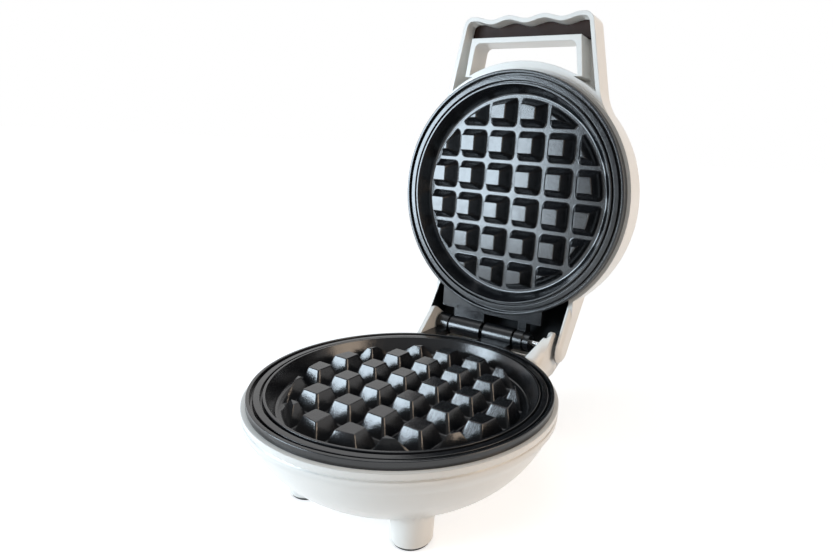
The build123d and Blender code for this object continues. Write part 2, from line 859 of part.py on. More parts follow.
with BuildPart() as tail:
    with BuildSketch(side(lid_space, -tail_outer)):
        with BuildLine():
            end_angle = lower_tangent() - 2 * pi
            Polyline(
                about_axis(tail_end_radius, tail_normal),
                ramp_top(tail_end_radius, tail_top),
                (tail_root_y, tail_top),
                (tail_root_y, lid_edge),
                (tail_arm_front, lid_edge),
                about_axis(tail_end_radius, end_angle),
            )
            ThreePointArc(
                about_axis(tail_end_radius, end_angle),
                about_axis(tail_end_radius, (end_angle + tail_normal) / 2),
                about_axis(tail_end_radius, tail_normal),
            )
        make_face()
    extrude(amount=2 * tail_outer)
    ramp_face = tail.faces().filter_by(GeomType.PLANE).sort_by(Axis(lid_origin, ramp_out))[-1]
    round_face = tail.faces().filter_by(GeomType.CYLINDER)[0]
    long_edges = ramp_face.edges() + round_face.edges()
    fillet(long_edges.filter_by(lambda edge: abs(edge.center().X) > tail_outer - 1), radius=tail_side_fillet)


def handle_outline():
    """Plan of the handle: blends out of the drum, tapers and ends in a scalloped edge."""
    slope_x = handle_half_tip - handle_half_root
    slope_v = handle_tip_v - handle_root_v
    run = hypot(slope_x, slope_v)
    out_x = slope_v / run
    out_v = -slope_x / run
    line_reach = handle_half_root * out_x + handle_root_v * out_v
    along = sqrt((drum_radius + handle_blend_radius) ** 2 - (line_reach + handle_blend_radius) ** 2)
    blend_x = out_x * (line_reach + handle_blend_radius) - out_v * along
    blend_v = out_v * (line_reach + handle_blend_radius) + out_x * along
    drum_share = drum_radius / (drum_radius + handle_blend_radius)
    drum_x = blend_x * drum_share
    drum_v = blend_v * drum_share
    line_x = blend_x - out_x * handle_blend_radius
    line_v = blend_v - out_v * handle_blend_radius
    middle_x = (drum_x + line_x) / 2 - blend_x
    middle_v = (drum_v + line_v) / 2 - blend_v
    middle_run = hypot(middle_x, middle_v)
    middle_x = blend_x + middle_x * handle_blend_radius / middle_run
    middle_v = blend_v + middle_v * handle_blend_radius / middle_run
    crest_v = handle_end_v + scallop_height
    corner_x = handle_half_tip + slope_x / slope_v * (crest_v - handle_tip_v)
    for hand in (-1, 1):
        ThreePointArc((hand * drum_x, -drum_v), (hand * middle_x, -middle_v), (hand * line_x, -line_v))
        Polyline((hand * line_x, -line_v), (hand * corner_x, -crest_v), (hand * crest_x, -crest_v))
    scallop_edge(0)
    Line((-drum_x, -drum_v), (drum_x, -drum_v))


def scallop_edge(wall):
    """Scalloped end of the handle, drawn in by a wall."""
    steps = [crest_x * (step / 6 - 1) for step in range(13)]
    Spline(
        *[(x, wall - handle_end_v + scallop_height * cos(2 * pi * x / scallop_pitch)) for x in steps],
        tangents=((1, 0), (1, 0)),
    )


def channel_plan(near_v, inset):
    """Plan of the handle's channel from one reach to its scalloped end, drawn in by an inset."""
    wall = handle_wall + inset
    far_v = handle_end_v + scallop_height - wall
    far_x = handle_half(far_v, wall)
    near_x = handle_half(near_v, wall)
    Polyline((-crest_x, -far_v), (-far_x, -far_v), (-near_x, -near_v))
    Line((-near_x, -near_v), (near_x, -near_v))
    Polyline((near_x, -near_v), (far_x, -far_v), (crest_x, -far_v))
    scallop_edge(wall)


def far_corners(plan):
    """Two outer corners at the far end of a plan of the handle."""
    return plan.vertices().filter_by(lambda corner: abs(corner.X) > crest_x + 1).group_by(Axis.Y)[0]


def handle_half(v, inset):
    """Half width of the handle's straight sides at one reach, drawn in by an inset."""
    taper = (handle_half_root - handle_half_tip) / (handle_tip_v - handle_root_v)
    return handle_half_root - taper * (v - handle_root_v) - inset * hypot(1, taper)


def finger_hole(grow):
    """Plan of the finger hole: straight far side, sides opening towards the drum."""
    Polygon(
        (-hole_half_width - grow, -hole_far_v - grow),
        (hole_half_width + grow, -hole_far_v - grow),
        (hole_root_half_width + grow, -drum_radius + hole_root_sink),
        (-hole_root_half_width - grow, -drum_radius + hole_root_sink),
        align=None,
    )


floor_z = handle_back - handle_floor
pan_back_z = lid_rim + pan_depth + pan_thickness
lens_seat_radius = hypot(lens_v, lens_spacing / 2) + lens_flange_radius
lens_seat_z = crown_height(lens_seat_radius, drum_wall)
lens_spots = ((-lens_spacing / 2, -lens_v), (lens_spacing / 2, -lens_v))

with BuildPart() as lid_shell:
    with BuildSketch(section(lid_space)):
        with BuildLine():
            lid_profile(0, lid_edge)
        make_face()
    revolve(axis=upright(lid_space))
    add(tail.part)
    with BuildSketch(lid_space.offset(handle_front)) as handle_plan:
        with BuildLine():
            handle_outline()
        make_face()
        fillet(far_corners(handle_plan), radius=handle_corner_radius)
    extrude(amount=handle_back - handle_front)
    # Channel in the handle, open towards the plate
    with BuildSketch(lid_space.offset(handle_front)) as channel:
        with BuildLine():
            channel_plan(handle_root_v, 0)
        make_face()
        fillet(far_corners(channel), radius=handle_corner_radius - handle_wall)
        Circle(hole_arc_radius - bridge_wall / 2, mode=Mode.SUBTRACT)
        with BuildSketch(mode=Mode.SUBTRACT):
            finger_hole(bridge_wall)
    extrude(amount=floor_z - handle_front, mode=Mode.SUBTRACT)
    # Finger hole, right through
    with BuildSketch(lid_space.offset(handle_front - 1)) as hole:
        finger_hole(0)
        fillet(hole.vertices().group_by(Axis.Y)[0], radius=hole_corner_radius)
        Circle(hole_arc_radius, mode=Mode.SUBTRACT)
    extrude(amount=handle_back - handle_front + 2, mode=Mode.SUBTRACT)
    # Hollow of the drum
    with BuildSketch(section(lid_space)):
        with BuildLine():
            lid_profile(drum_wall, lid_edge - 1)
        make_face()
    revolve(axis=upright(lid_space), mode=Mode.SUBTRACT)
    # Hollow of the tail, open below behind the lip
    with BuildSketch(side(lid_space, -tail_outer + tail_wall)):
        with BuildLine():
            Polyline(
                about_axis(cavity_radius, tail_normal),
                ramp_top(cavity_radius, cavity_top),
                (tail_root_y, cavity_top),
                (tail_root_y, axis_z - 2 * tail_end_radius),
                (hinge_y + 2 * tail_end_radius, axis_z - 2 * tail_end_radius),
                about_axis(2 * tail_end_radius, lip_angle),
                about_axis(cavity_radius, lip_angle),
            )
            ThreePointArc(
                about_axis(cavity_radius, lip_angle),
                about_axis(cavity_radius, (lip_angle + tail_normal) / 2),
                about_axis(cavity_radius, tail_normal),
            )
        make_face()
    extrude(amount=2 * (tail_outer - tail_wall), mode=Mode.SUBTRACT)
    # Posts that bear on the pan
    with BuildSketch(lid_space.offset(pan_back_z)):
        with PolarLocations(post_circle_radius, post_count, start_angle=90):
            Circle(post_radius)
    extrude(amount=lid_top - drum_wall / 2 - pan_back_z)
    # Windows for the lenses
    with BuildSketch(lid_space.offset(lens_seat_z - 1)):
        with Locations(*lens_spots):
            Circle(lens_radius + lens_play)
    extrude(amount=drum_wall + 4, mode=Mode.SUBTRACT)
lid_shell.part.label = "lid_shell"

# Dark bar on the floor of the handle's cross channel
insert_near_v = hole_far_v + bridge_wall + insert_play
with BuildPart() as handle_insert:
    with BuildSketch(lid_space.offset(floor_z)) as insert_plan:
        with BuildLine():
            channel_plan(insert_near_v, insert_play)
        make_face()
        fillet(far_corners(insert_plan), radius=handle_corner_radius - handle_wall)
    extrude(amount=-insert_depth)
handle_insert.part.label = "handle_insert"

# Lenses, lamps and their holder
lenses = []
lamps = []
lens_top = crown_height(hypot(lens_v, lens_spacing / 2) - lens_radius, 0) + lens_proud
lamp_top = lens_seat_z - lens_flange_height - lamp_gap
lamp_foot = pan_back_z + holder_thickness
for kind, (spot_x, spot_y) in zip(("power", "ready"), lens_spots):
    with BuildPart() as lens:
        with BuildSketch(lid_space.offset(lens_seat_z)):
            with Locations((spot_x, spot_y)):
                Circle(lens_flange_radius)
        extrude(amount=-lens_flange_height)
        with BuildSketch(lid_space.offset(lens_seat_z)):
            with Locations((spot_x, spot_y)):
                Circle(lens_radius)
        extrude(amount=lens_top - lens_seat_z)
    lens.part.label = kind + "_lens"
    lenses.append(lens.part)
    with BuildPart() as lamp:
        with BuildSketch(lid_space.offset(lamp_foot)):
            with Locations((spot_x, spot_y)):
                Circle(lamp_radius)
        extrude(amount=lamp_top - lamp_foot)
    lamp.part.label = kind + "_lamp"
    lamps.append(lamp.part)

with BuildPart() as lamp_holder:
    with BuildSketch(lid_space.offset(pan_back_z)):
        with Locations((0, -lens_v)):
            RectangleRounded(lens_spacing + 2 * holder_margin, 2 * holder_margin, holder_margin / 2)
    extrude(amount=holder_thickness)
lamp_holder.part.label = "lamp_holder"

os.makedirs("parts", exist_ok=True)
pieces = [
    base_shell.part,
    lower_plate.part,
    lower_element.part,
    lower_reflector.part,
    base_screws.part,
    hinge_pin.part,
    pin_retainer.part,
    cord_gland.part,
    terminal_block.part,
    lid_shell.part,
    handle_insert.part,
    upper_plate.part,
    upper_element.part,
    upper_reflector.part,
    upper_reflector_screws.part,
    thermostat.part,
    thermal_fuse.part,
    lamp_holder.part,
]
for piece in pieces + pads + lenses + lamps:
    export_step(piece, "parts/" + piece.label + ".step")
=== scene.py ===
import json
from math import cos, hypot, pi, radians, sin, tan

import bmesh
import bpy
from mathutils import Matrix, Vector


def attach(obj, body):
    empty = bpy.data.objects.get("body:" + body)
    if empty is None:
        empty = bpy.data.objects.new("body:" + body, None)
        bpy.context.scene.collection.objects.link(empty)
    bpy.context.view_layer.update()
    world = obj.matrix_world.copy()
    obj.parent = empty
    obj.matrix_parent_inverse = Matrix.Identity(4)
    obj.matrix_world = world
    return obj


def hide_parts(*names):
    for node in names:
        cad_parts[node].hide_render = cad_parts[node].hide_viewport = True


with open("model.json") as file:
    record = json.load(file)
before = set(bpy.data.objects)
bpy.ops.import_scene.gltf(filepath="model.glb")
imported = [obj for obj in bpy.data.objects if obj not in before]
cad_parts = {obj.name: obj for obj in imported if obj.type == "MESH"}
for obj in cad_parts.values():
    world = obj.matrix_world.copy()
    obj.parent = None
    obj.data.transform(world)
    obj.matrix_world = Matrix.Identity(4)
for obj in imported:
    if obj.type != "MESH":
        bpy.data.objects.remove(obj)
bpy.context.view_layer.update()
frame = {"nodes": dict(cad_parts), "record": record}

# Mini waffle maker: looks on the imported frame. Metres, +Z up, hinge at the rear (+Y).
MM = 0.001

# Mouldings that are shown with clean shading
SHELLS = ("base_shell", "lid_shell")
PADS = ("foot_pad_front_left", "foot_pad_front_right", "foot_pad_rear_left", "foot_pad_rear_right")


def body_of(node):
    """Name of the body that carries a node."""
    for body, members in frame["record"]["behaviour"]["bodies"].items():
        if node in members:
            return body
    raise KeyError(node)


def slot_of(node):
    """Material slot of a node in the record."""
    for entry in frame["record"]["subparts"]:
        if entry["node"] == node:
            return entry["material_slot"]
    raise KeyError(node)


# Materials
def rgba(value):
    """Opaque colour from a colour or a grey."""
    return (*value, 1.0) if isinstance(value, tuple) else (value, value, value, 1.0)


class Finish:
    """A node material under construction, with short calls for the nodes used here."""

    def __init__(self, name, color, roughness, metallic=0.0):
        self.material = bpy.data.materials.new(name)
        self.material.use_nodes = True
        self.tree = self.material.node_tree
        self.shader = self.tree.nodes["Principled BSDF"]
        self.put("Base Color", (*color, 1.0))
        self.put("Roughness", roughness)
        self.put("Metallic", metallic)
        self.place = self.add("ShaderNodeTexCoord").outputs["Object"]

    def roll_edges(self, radius):
        """Edges catch light as if rolled to a radius in millimetres."""
        node = self.add("ShaderNodeBevel", samples=4)
        node.inputs["Radius"].default_value = radius * MM
        self.link(node.outputs["Normal"], self.shader.inputs["Normal"])

    def put(self, socket, value):
        self.shader.inputs[socket].default_value = value

    def add(self, kind, **values):
        node = self.tree.nodes.new(kind)
        for key, value in values.items():
            setattr(node, key, value)
        return node

    def link(self, source, target):
        self.tree.links.new(source, target)

    def noise(self, scale, detail=3.0, stretch=(1.0, 1.0, 1.0)):
        """Noise in metres, so a scale is cells per metre."""
        mapping = self.add("ShaderNodeMapping")
        mapping.inputs["Scale"].default_value = stretch
        texture = self.add("ShaderNodeTexNoise")
        texture.inputs["Scale"].default_value = scale
        texture.inputs["Detail"].default_value = detail
        self.link(self.place, mapping.inputs["Vector"])
        self.link(mapping.outputs["Vector"], texture.inputs["Vector"])
        return texture.outputs["Fac"]

    def ramp(self, source, low, high, start=0.35, end=0.65):
        """Colour ramp between two colours or two greys."""
        node = self.add("ShaderNodeValToRGB")
        first, last = node.color_ramp.elements
        first.position, last.position = start, end
        first.color, last.color = rgba(low), rgba(high)
        self.link(source, node.inputs["Fac"])
        return node.outputs["Color"]

    def vary(self, socket, source, low, high, start=0.35, end=0.65):
        """Shader socket driven by a noise through a ramp."""
        self.link(self.ramp(source, low, high, start, end), self.shader.inputs[socket])

    def bump(self, source, strength, distance):
        """Relief of a distance in metres, on top of what already bends the normal."""
        node = self.add("ShaderNodeBump")
        node.inputs["Strength"].default_value = strength
        node.inputs["Distance"].default_value = distance
        self.link(source, node.inputs["Height"])
        previous = self.shader.inputs["Normal"].links
        if previous:
            self.link(previous[0].from_socket, node.inputs["Normal"])
        self.link(node.outputs["Normal"], self.shader.inputs["Normal"])


def white_plastic():
    """Glossy moulded shell, off-white, with a very fine moulded skin."""
    made = Finish("shell_white", (0.86, 0.82, 0.77), 0.28)
    made.roll_edges(0.5)
    made.vary("Base Color", made.noise(14, 1.0), (0.850, 0.815, 0.765), (0.862, 0.829, 0.782), 0.1, 0.9)
    made.vary("Roughness", made.noise(60, 1.0), 0.27, 0.30, 0.1, 0.9)
    made.bump(made.noise(2600, 1.0), 0.02, 0.0001)
    made.put("Coat Weight", 0.25)
    made.put("Coat Roughness", 0.12)
    return made.material


def non_stick():
    """Cast plate under a black non-stick coat: satin gloss over a faint cast texture."""
    made = Finish("plate_non_stick", (0.022, 0.023, 0.026), 0.3)
    made.roll_edges(0.12)
    made.vary("Base Color", made.noise(60), (0.006, 0.0065, 0.008), (0.011, 0.012, 0.014))
    made.vary("Roughness", made.noise(300), 0.17, 0.23)
    made.bump(made.noise(1900, 2.0), 0.35, 0.0001)
    made.bump(made.noise(240, 2.0), 0.05, 0.0004)
    made.put("Specular IOR Level", 0.7)
    return made.material


def brown_plastic():
    """Dark brown satin moulding of the handle's bar."""
    made = Finish("insert_brown", (0.028, 0.015, 0.011), 0.5)
    made.vary("Base Color", made.noise(80), (0.024, 0.012, 0.009), (0.032, 0.017, 0.013))
    made.vary("Roughness", made.noise(400), 0.46, 0.56)
    made.put("Specular IOR Level", 0.2)
    made.bump(made.noise(2200, 2.0), 0.12, 0.0001)
    return made.material


def rubber():
    """Matt black rubber of the feet and the gland."""
    made = Finish("rubber_black", (0.035, 0.035, 0.036), 0.7)
    made.vary("Base Color", made.noise(120), (0.028, 0.028, 0.029), (0.045, 0.045, 0.046))
    made.vary("Roughness", made.noise(500), 0.62, 0.8)
    made.bump(made.noise(2500, 2.0), 0.2, 0.0001)
    return made.material


def metal(name, color, low, high, stretch=(1.0, 1.0, 1.0)):
    """Bare or plated metal with drawn streaks."""
    made = Finish(name, color, (low + high) / 2, 1.0)
    darker = tuple(0.82 * channel for channel in color)
    made.vary("Base Color", made.noise(180, 4.0, stretch), darker, color)
    made.vary("Roughness", made.noise(600, 3.0, stretch), low, high)
    made.bump(made.noise(1500, 2.0, stretch), 0.08, 0.0001)
    return made.material


def moulded(name, color, roughness):
    """Plain inner moulding with a faint skin."""
    made = Finish(name, color, roughness)
    darker = tuple(0.88 * channel for channel in color)
    made.vary("Base Color", made.noise(140), darker, color)
    made.vary("Roughness", made.noise(500), roughness - 0.06, roughness + 0.06)
    made.bump(made.noise(1800, 2.0), 0.1, 0.0001)
    return made.material


def clear_lens(name, color):
    """Tinted clear window or bulb."""
    made = Finish(name, color, 0.12)
    darker = tuple(0.7 * channel for channel in color)
    made.vary("Base Color", made.noise(900), darker, color)
    made.vary("Roughness", made.noise(700), 0.08, 0.16)
    made.put("Transmission Weight", 0.6)
    made.put("IOR", 1.49)
    return made.material


shell_finish = white_plastic()
plate_finish = non_stick()
rubber_finish = rubber()
steel_streaks = (1.0, 8.0, 8.0)
zinc_finish = metal("screw_zinc", (0.62, 0.61, 0.60), 0.28, 0.42)
sheath_finish = metal("element_sheath", (0.30, 0.28, 0.26), 0.42, 0.6)
pan_finish = metal("reflector_steel", (0.72, 0.72, 0.72), 0.24, 0.38)
lamp_finish = clear_lens("lamp_glass", (0.95, 0.72, 0.55))
FINISHES = {
    "base_shell": shell_finish,
    "lid_shell": shell_finish,
    "plate": plate_finish,
    "foot": rubber_finish,
    "gland": rubber_finish,
    "insert": brown_plastic(),
    "pin": metal("pin_steel", (0.74, 0.73, 0.72), 0.16, 0.28, steel_streaks),
    "screw": zinc_finish,
    "element": sheath_finish,
    "reflector": pan_finish,
    "fuse": metal("fuse_can", (0.66, 0.66, 0.66), 0.3, 0.44),
    "terminal": moulded("terminal_cream", (0.80, 0.76, 0.66), 0.5),
    "thermostat": moulded("thermostat_phenolic", (0.16, 0.09, 0.05), 0.42),
    "holder": moulded("holder_white", (0.78, 0.77, 0.73), 0.5),
    "lens_power": clear_lens("lens_red", (0.75, 0.06, 0.05)),
    "lens_ready": clear_lens("lens_green", (0.06, 0.50, 0.16)),
    "lamp": lamp_finish,
}

for node_name, node_object in frame["nodes"].items():
    node_object.data.materials.clear()
    node_object.data.materials.append(FINISHES[slot_of(node_name)])


# Skins: clean shading for the visible mouldings, and freshly built cooking faces
def tidy_mesh(mesh, keep=None, merge_flat=True):
    """Merge the doubled points and flat triangles of a CAD mesh, keeping the faces wanted."""
    edit = bmesh.new()
    edit.from_mesh(mesh)
    bmesh.ops.remove_doubles(edit, verts=edit.verts, dist=0.001 * MM)
    if keep:
        dropped = [face for face in edit.faces if not keep(face)]
        bmesh.ops.delete(edit, geom=dropped, context="FACES")
    if merge_flat:
        bmesh.ops.dissolve_limit(edit, angle_limit=radians(0.03), verts=edit.verts, edges=edit.edges)
    edit.to_mesh(mesh)
    edit.free()


def dress(name, mesh, node, sharp_angle=32):
    """Piece with area-weighted normals that stands for a node."""
    mesh.polygons.foreach_set("use_smooth", [True] * len(mesh.polygons))
    mesh.set_sharp_from_angle(angle=radians(sharp_angle))
    skin = bpy.data.objects.new(name, mesh)
    bpy.context.scene.collection.objects.link(skin)
    weigh = skin.modifiers.new("weigh", "WEIGHTED_NORMAL")
    weigh.mode = "FACE_AREA"
    weigh.keep_sharp = True
    depsgraph = bpy.context.evaluated_depsgraph_get()
    weighed = bpy.data.meshes.new_from_object(skin.evaluated_get(depsgraph))
    skin.modifiers.clear()
    skin.data = weighed
    skin.data.materials.clear()
    skin.data.materials.append(FINISHES[slot_of(node)])
    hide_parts(node)
    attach(skin, body_of(node))
    return skin


def skin_of(node):
    mesh = frame["nodes"][node].data.copy()
    # The bowl's crease shades unevenly where its thin ledges are merged into one face
    tidy_mesh(mesh, merge_flat=node != "base_shell")
    return dress(node + "_skin", mesh, node)


for moulding in (*SHELLS, *PADS, "handle_insert", "cord_gland", "hinge_pin", "pin_retainer"):
    skin_of(moulding)

# Painted shade: a thin near-black sheet over the faces inside the lid's tail stands in for the deep shade of the
# hollow around the hinge
SHADE_SHEET_WALL, SHADE_SHEET_PLAY = 0.15, 0.1
SHADE_SHEET_HALF, SHADE_SHEET_LOW_Z, SHADE_SHEET_HIGH_Z, SHADE_SHEET_FRONT_Y = 36.55 * MM, 30 * MM, 78 * MM, 60 * MM
HOLLOW_MIDDLE = Vector((0, 70, 56)) * MM


def in_tail(face):
    """True for the faces inside the tail's hollow, which the near-black sheet of painted shade covers."""
    middle = face.calc_center_median()
    between_arms = all(abs(vertex.co.x) <= SHADE_SHEET_HALF + SHADE_SHEET_PLAY * MM for vertex in face.verts)
    at_hinge = SHADE_SHEET_LOW_Z <= middle.z <= SHADE_SHEET_HIGH_Z and middle.y >= SHADE_SHEET_FRONT_Y
    return between_arms and at_hinge and face.normal.dot(middle - HOLLOW_MIDDLE) < 0


shade_sheet_mesh = frame["nodes"]["lid_shell"].data.copy()
tidy_mesh(shade_sheet_mesh, in_tail)
shade_sheet = bpy.data.objects.new("tail_shade_sheet", shade_sheet_mesh)
bpy.context.scene.collection.objects.link(shade_sheet)
thicken = shade_sheet.modifiers.new("thicken", "SOLIDIFY")
thicken.thickness = SHADE_SHEET_WALL * MM
thicken.offset = 1.0
shade_sheet_mesh.materials.clear()
# The sheet's near-black colour is painted shade for the hollow, not a real lining
shade_sheet_mesh.materials.append(moulded("shade_sheet_black", (0.012, 0.013, 0.015), 0.45))
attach(shade_sheet, body_of("lid_shell"))

# Cooking plates: ring profile and studs in millimetres, heights above the rim plane
RING, RIM_HEIGHT, RIM_GAP, OPEN_ANGLE = 59.0, 43.0, 0.4, radians(93.0)
HINGE_PLACE = Vector((0, 69.5, 44.2)) * MM
WELL_DEPTH, WELL_TOP, WELL_FLOOR = 7.8, 52.3, 49.2
STUD_PITCH, STUD_TOP, STUD_BASE, STUD_HEIGHT, STUD_CORNER = 16.0, 3.7, 6.8, 7.0, 0.5
GRID_BASE, GRID_TOP = 46.6, 43.6
LOWER_BAND, UPPER_BAND = 3.0, 5.0
STUDS_ACROSS, GRID_CORNER = 6, 75
MIN_CORNER, CORNER_SPREAD = 0.15, 0.5
SEAM_PLAY = 0.02
LATHE_STEPS, STUD_STEPS, ARC_STEPS = 160, 96, 4
PROBES, SEARCH_STEPS, SEARCH_FAR = 7, 22, 12.0
LIP_IN, GUTTER_IN, LAND_IN, LEDGE = 57.7, 56.4, 54.2, 53.2


def rounded(points):
    """Profile points (radius, height, corner) with each corner turned into a small arc."""
    line = []
    for index, (radius, height, corner) in enumerate(points):
        here = Vector((radius, height))
        if corner == 0 or index in (0, len(points) - 1):
            line.append(here)
            continue
        before = (Vector(points[index - 1][:2]) - here).normalized()
        after = (Vector(points[index + 1][:2]) - here).normalized()
        half = before.angle(after) / 2
        reach = corner / tan(half)
        center = here + (before + after).normalized() * corner / sin(half)
        start = here + before * reach - center
        sweep = start.angle_signed(here + after * reach - center)
        for step in range(ARC_STEPS + 1):
            turn = -sweep * step / ARC_STEPS
            arm = (start.x * cos(turn) - start.y * sin(turn), start.x * sin(turn) + start.y * cos(turn))
            line.append(center + Vector(arm))
    return line


def ring_profile(band):
    """Cooking face from the middle out, over the bead, land, gutter and lip, and down the band."""
    wall_at_band = WELL_TOP - (WELL_TOP - WELL_FLOOR) / (WELL_DEPTH - 0.2) * (band - 0.2)
    return rounded([
        (0, -WELL_DEPTH, 0),
        (WELL_FLOOR, -WELL_DEPTH, 1.6),
        (WELL_TOP, -0.2, 0.22),
        (LEDGE, -0.2, 0.2),
        (LEDGE + 0.25, -2.2, 0.1),
        (LAND_IN - 0.25, -2.2, 0.1),
        (LAND_IN, -0.4, 0.22),
        (GUTTER_IN, -0.4, 0.22),
        (GUTTER_IN + 0.25, -2.3, 0.1),
        (LIP_IN - 0.25, -2.3, 0.1),
        (LIP_IN, 0, 0.25),
        (RING, 0, 0.35),
        (RING, -band, 0.25),
        (wall_at_band + 2.6, -band, 0),
    ])


def add_lathe(edit, profile):
    """Surface turned about the middle, closed at the centre."""
    loops = []
    for point in profile:
        if point.x < 0.001:
            loops.append([edit.verts.new((0, 0, point.y * MM))])
            continue
        loops.append([
            edit.verts.new((point.x * cos(turn) * MM, point.x * sin(turn) * MM, point.y * MM))
            for turn in (2 * pi * step / LATHE_STEPS for step in range(LATHE_STEPS))
        ])
    for inner, outer in zip(loops, loops[1:]):
        for step in range(LATHE_STEPS):
            after = (step + 1) % LATHE_STEPS
            if len(inner) == 1:
                edit.faces.new((inner[0], outer[step], outer[after]))
            else:
                edit.faces.new((inner[step], outer[step], outer[after], inner[after]))


def stud_reach(middle, start, turn, half, corner, limit):
    """Distance from a point to the edge of a rounded square trimmed by a circle."""
    aim = Vector((cos(turn), sin(turn)))
    near, far = 0.0, SEARCH_FAR
    for _ in range(SEARCH_STEPS):
        reach = (near + far) / 2
        spot = start + aim * reach
        over_x = max(abs(spot.x - middle.x) - half + corner, 0)
        over_y = max(abs(spot.y - middle.y) - half + corner, 0)
        if hypot(over_x, over_y) <= corner and max(over_x, over_y) <= corner and spot.length <= limit:
            near = reach
        else:
            far = reach
    return near


# Stud levels: height above the floor and how far the outline stands out there
STUD_LEVELS = (
    (-0.15, 0.62), (0.0, 0.42), (0.04, 0.25), (0.14, 0.11), (0.32, 0.03), (0.55, 0.0), (3.6, 0.0),
    (6.62, 0.0), (6.8, -0.03), (6.93, -0.11), (7.0, -0.28),
)


def add_stud(edit, middle):
    """One pyramid of the grid, trimmed round where it meets the grid's edge."""
    inside = []
    for across in range(-PROBES, PROBES + 1):
        for along in range(-PROBES, PROBES + 1):
            spot = middle + Vector((across, along)) * STUD_TOP / PROBES
            if spot.length <= GRID_TOP:
                inside.append(spot)
    if not inside:
        return
    start = sum(inside, Vector((0, 0))) / len(inside)
    loops = []
    for height, grow in STUD_LEVELS:
        rise = max(0.0, min(1.0, height / STUD_HEIGHT))
        spread = (STUD_BASE - STUD_TOP) * (1 - rise)
        half = STUD_TOP + spread + grow
        corner = max(MIN_CORNER, STUD_CORNER + CORNER_SPREAD * spread + grow)
        limit = GRID_BASE + (GRID_TOP - GRID_BASE) * rise + grow
        loop = []
        for step in range(STUD_STEPS):
            turn = 2 * pi * (step + 0.5) / STUD_STEPS
            spot = start + Vector((cos(turn), sin(turn))) * stud_reach(middle, start, turn, half, corner, limit)
            loop.append(edit.verts.new((spot.x * MM, spot.y * MM, (height - WELL_DEPTH) * MM)))
        loops.append(loop)
    for lower, upper in zip(loops, loops[1:]):
        for step in range(STUD_STEPS):
            after = (step + 1) % STUD_STEPS
            edit.faces.new((lower[step], lower[after], upper[after], upper[step]))
    edit.faces.new(loops[-1])


def cast_plate(node, band, seat):
    """Plate with a clean cooking face; its back, bosses and knuckles stay as in the CAD."""
    home = seat.inverted()

    def behind_face(face):
        for vertex in face.verts:
            place = home @ vertex.co / MM
            if hypot(place.x, place.y) > RING + SEAM_PLAY or place.z < -WELL_DEPTH - SEAM_PLAY:
                return True
        return False

    back = frame["nodes"][node].data.copy()
    tidy_mesh(back, behind_face)
    edit = bmesh.new()
    add_lathe(edit, ring_profile(band))
    last = (STUDS_ACROSS - 1) / 2
    for column in range(STUDS_ACROSS):
        for row in range(STUDS_ACROSS):
            middle = Vector((column - last, row - last)) * STUD_PITCH
            if abs(middle.x) + abs(middle.y) < GRID_CORNER:
                add_stud(edit, middle)
    edit.transform(seat)
    edit.from_mesh(back)
    mesh = bpy.data.meshes.new(node + "_skin")
    edit.to_mesh(mesh)
    edit.free()
    return dress(node + "_skin", mesh, node)


lower_seat = Matrix.Translation((0, 0, RIM_HEIGHT * MM))
opened = Matrix.Translation(HINGE_PLACE) @ Matrix.Rotation(-OPEN_ANGLE, 4, "X") @ Matrix.Translation(-HINGE_PLACE)
shut_height = (RIM_HEIGHT + RIM_GAP) * MM
upper_seat = opened @ Matrix.Translation((0, 0, shut_height)) @ Matrix.Rotation(pi, 4, "X")
cast_plate("lower_plate", LOWER_BAND, lower_seat)
cast_plate("upper_plate", UPPER_BAND, upper_seat)


# Stage: a pale floor that looks white and keeps the object's shadow
GLOW_FROM, GLOW_TO = 0.3, 1.6


def looked_at(nodes, links):
    """Factor that is 1 for camera, glossy and transmission rays."""
    path = nodes.new("ShaderNodeLightPath")
    seen = path.outputs["Is Camera Ray"]
    for ray in ("Is Glossy Ray", "Is Transmission Ray"):
        either = nodes.new("ShaderNodeMath")
        either.operation = "MAXIMUM"
        links.new(seen, either.inputs[0])
        links.new(path.outputs[ray], either.inputs[1])
        seen = either.outputs["Value"]
    return seen


def white_stage(name, near_glow, far_glow):
    """Pale matt paint that shows white where it is looked at, also beyond the lamps' reach."""
    material = bpy.data.materials.new(name)
    material.use_nodes = True
    nodes, links = material.node_tree.nodes, material.node_tree.links
    nodes.clear()
    output = nodes.new("ShaderNodeOutputMaterial")
    diffuse = nodes.new("ShaderNodeBsdfDiffuse")
    diffuse.inputs["Color"].default_value = (0.80, 0.80, 0.80, 1.0)
    glow = nodes.new("ShaderNodeEmission")
    glow.inputs["Color"].default_value = (1.0, 1.0, 1.0, 1.0)
    place = nodes.new("ShaderNodeTexCoord")
    reach = nodes.new("ShaderNodeVectorMath")
    reach.operation = "LENGTH"
    spread = nodes.new("ShaderNodeMapRange")
    spread.inputs["From Min"].default_value = GLOW_FROM
    spread.inputs["From Max"].default_value = GLOW_TO
    spread.inputs["To Min"].default_value = near_glow
    spread.inputs["To Max"].default_value = far_glow
    links.new(place.outputs["Object"], reach.inputs[0])
    links.new(reach.outputs["Value"], spread.inputs["Value"])
    links.new(spread.outputs["Result"], glow.inputs["Strength"])
    both = nodes.new("ShaderNodeAddShader")
    mix = nodes.new("ShaderNodeMixShader")
    links.new(diffuse.outputs["BSDF"], both.inputs[0])
    links.new(glow.outputs["Emission"], both.inputs[1])
    links.new(looked_at(nodes, links), mix.inputs["Fac"])
    links.new(diffuse.outputs["BSDF"], mix.inputs[1])
    links.new(both.outputs["Shader"], mix.inputs[2])
    links.new(mix.outputs["Shader"], output.inputs["Surface"])
    return material


def stage_face(name, corners, material):
    mesh = bpy.data.meshes.new(name)
    mesh.from_pydata(corners, [], [(0, 1, 2, 3)])
    mesh.materials.append(material)
    face = bpy.data.objects.new(name, mesh)
    bpy.context.scene.collection.objects.link(face)


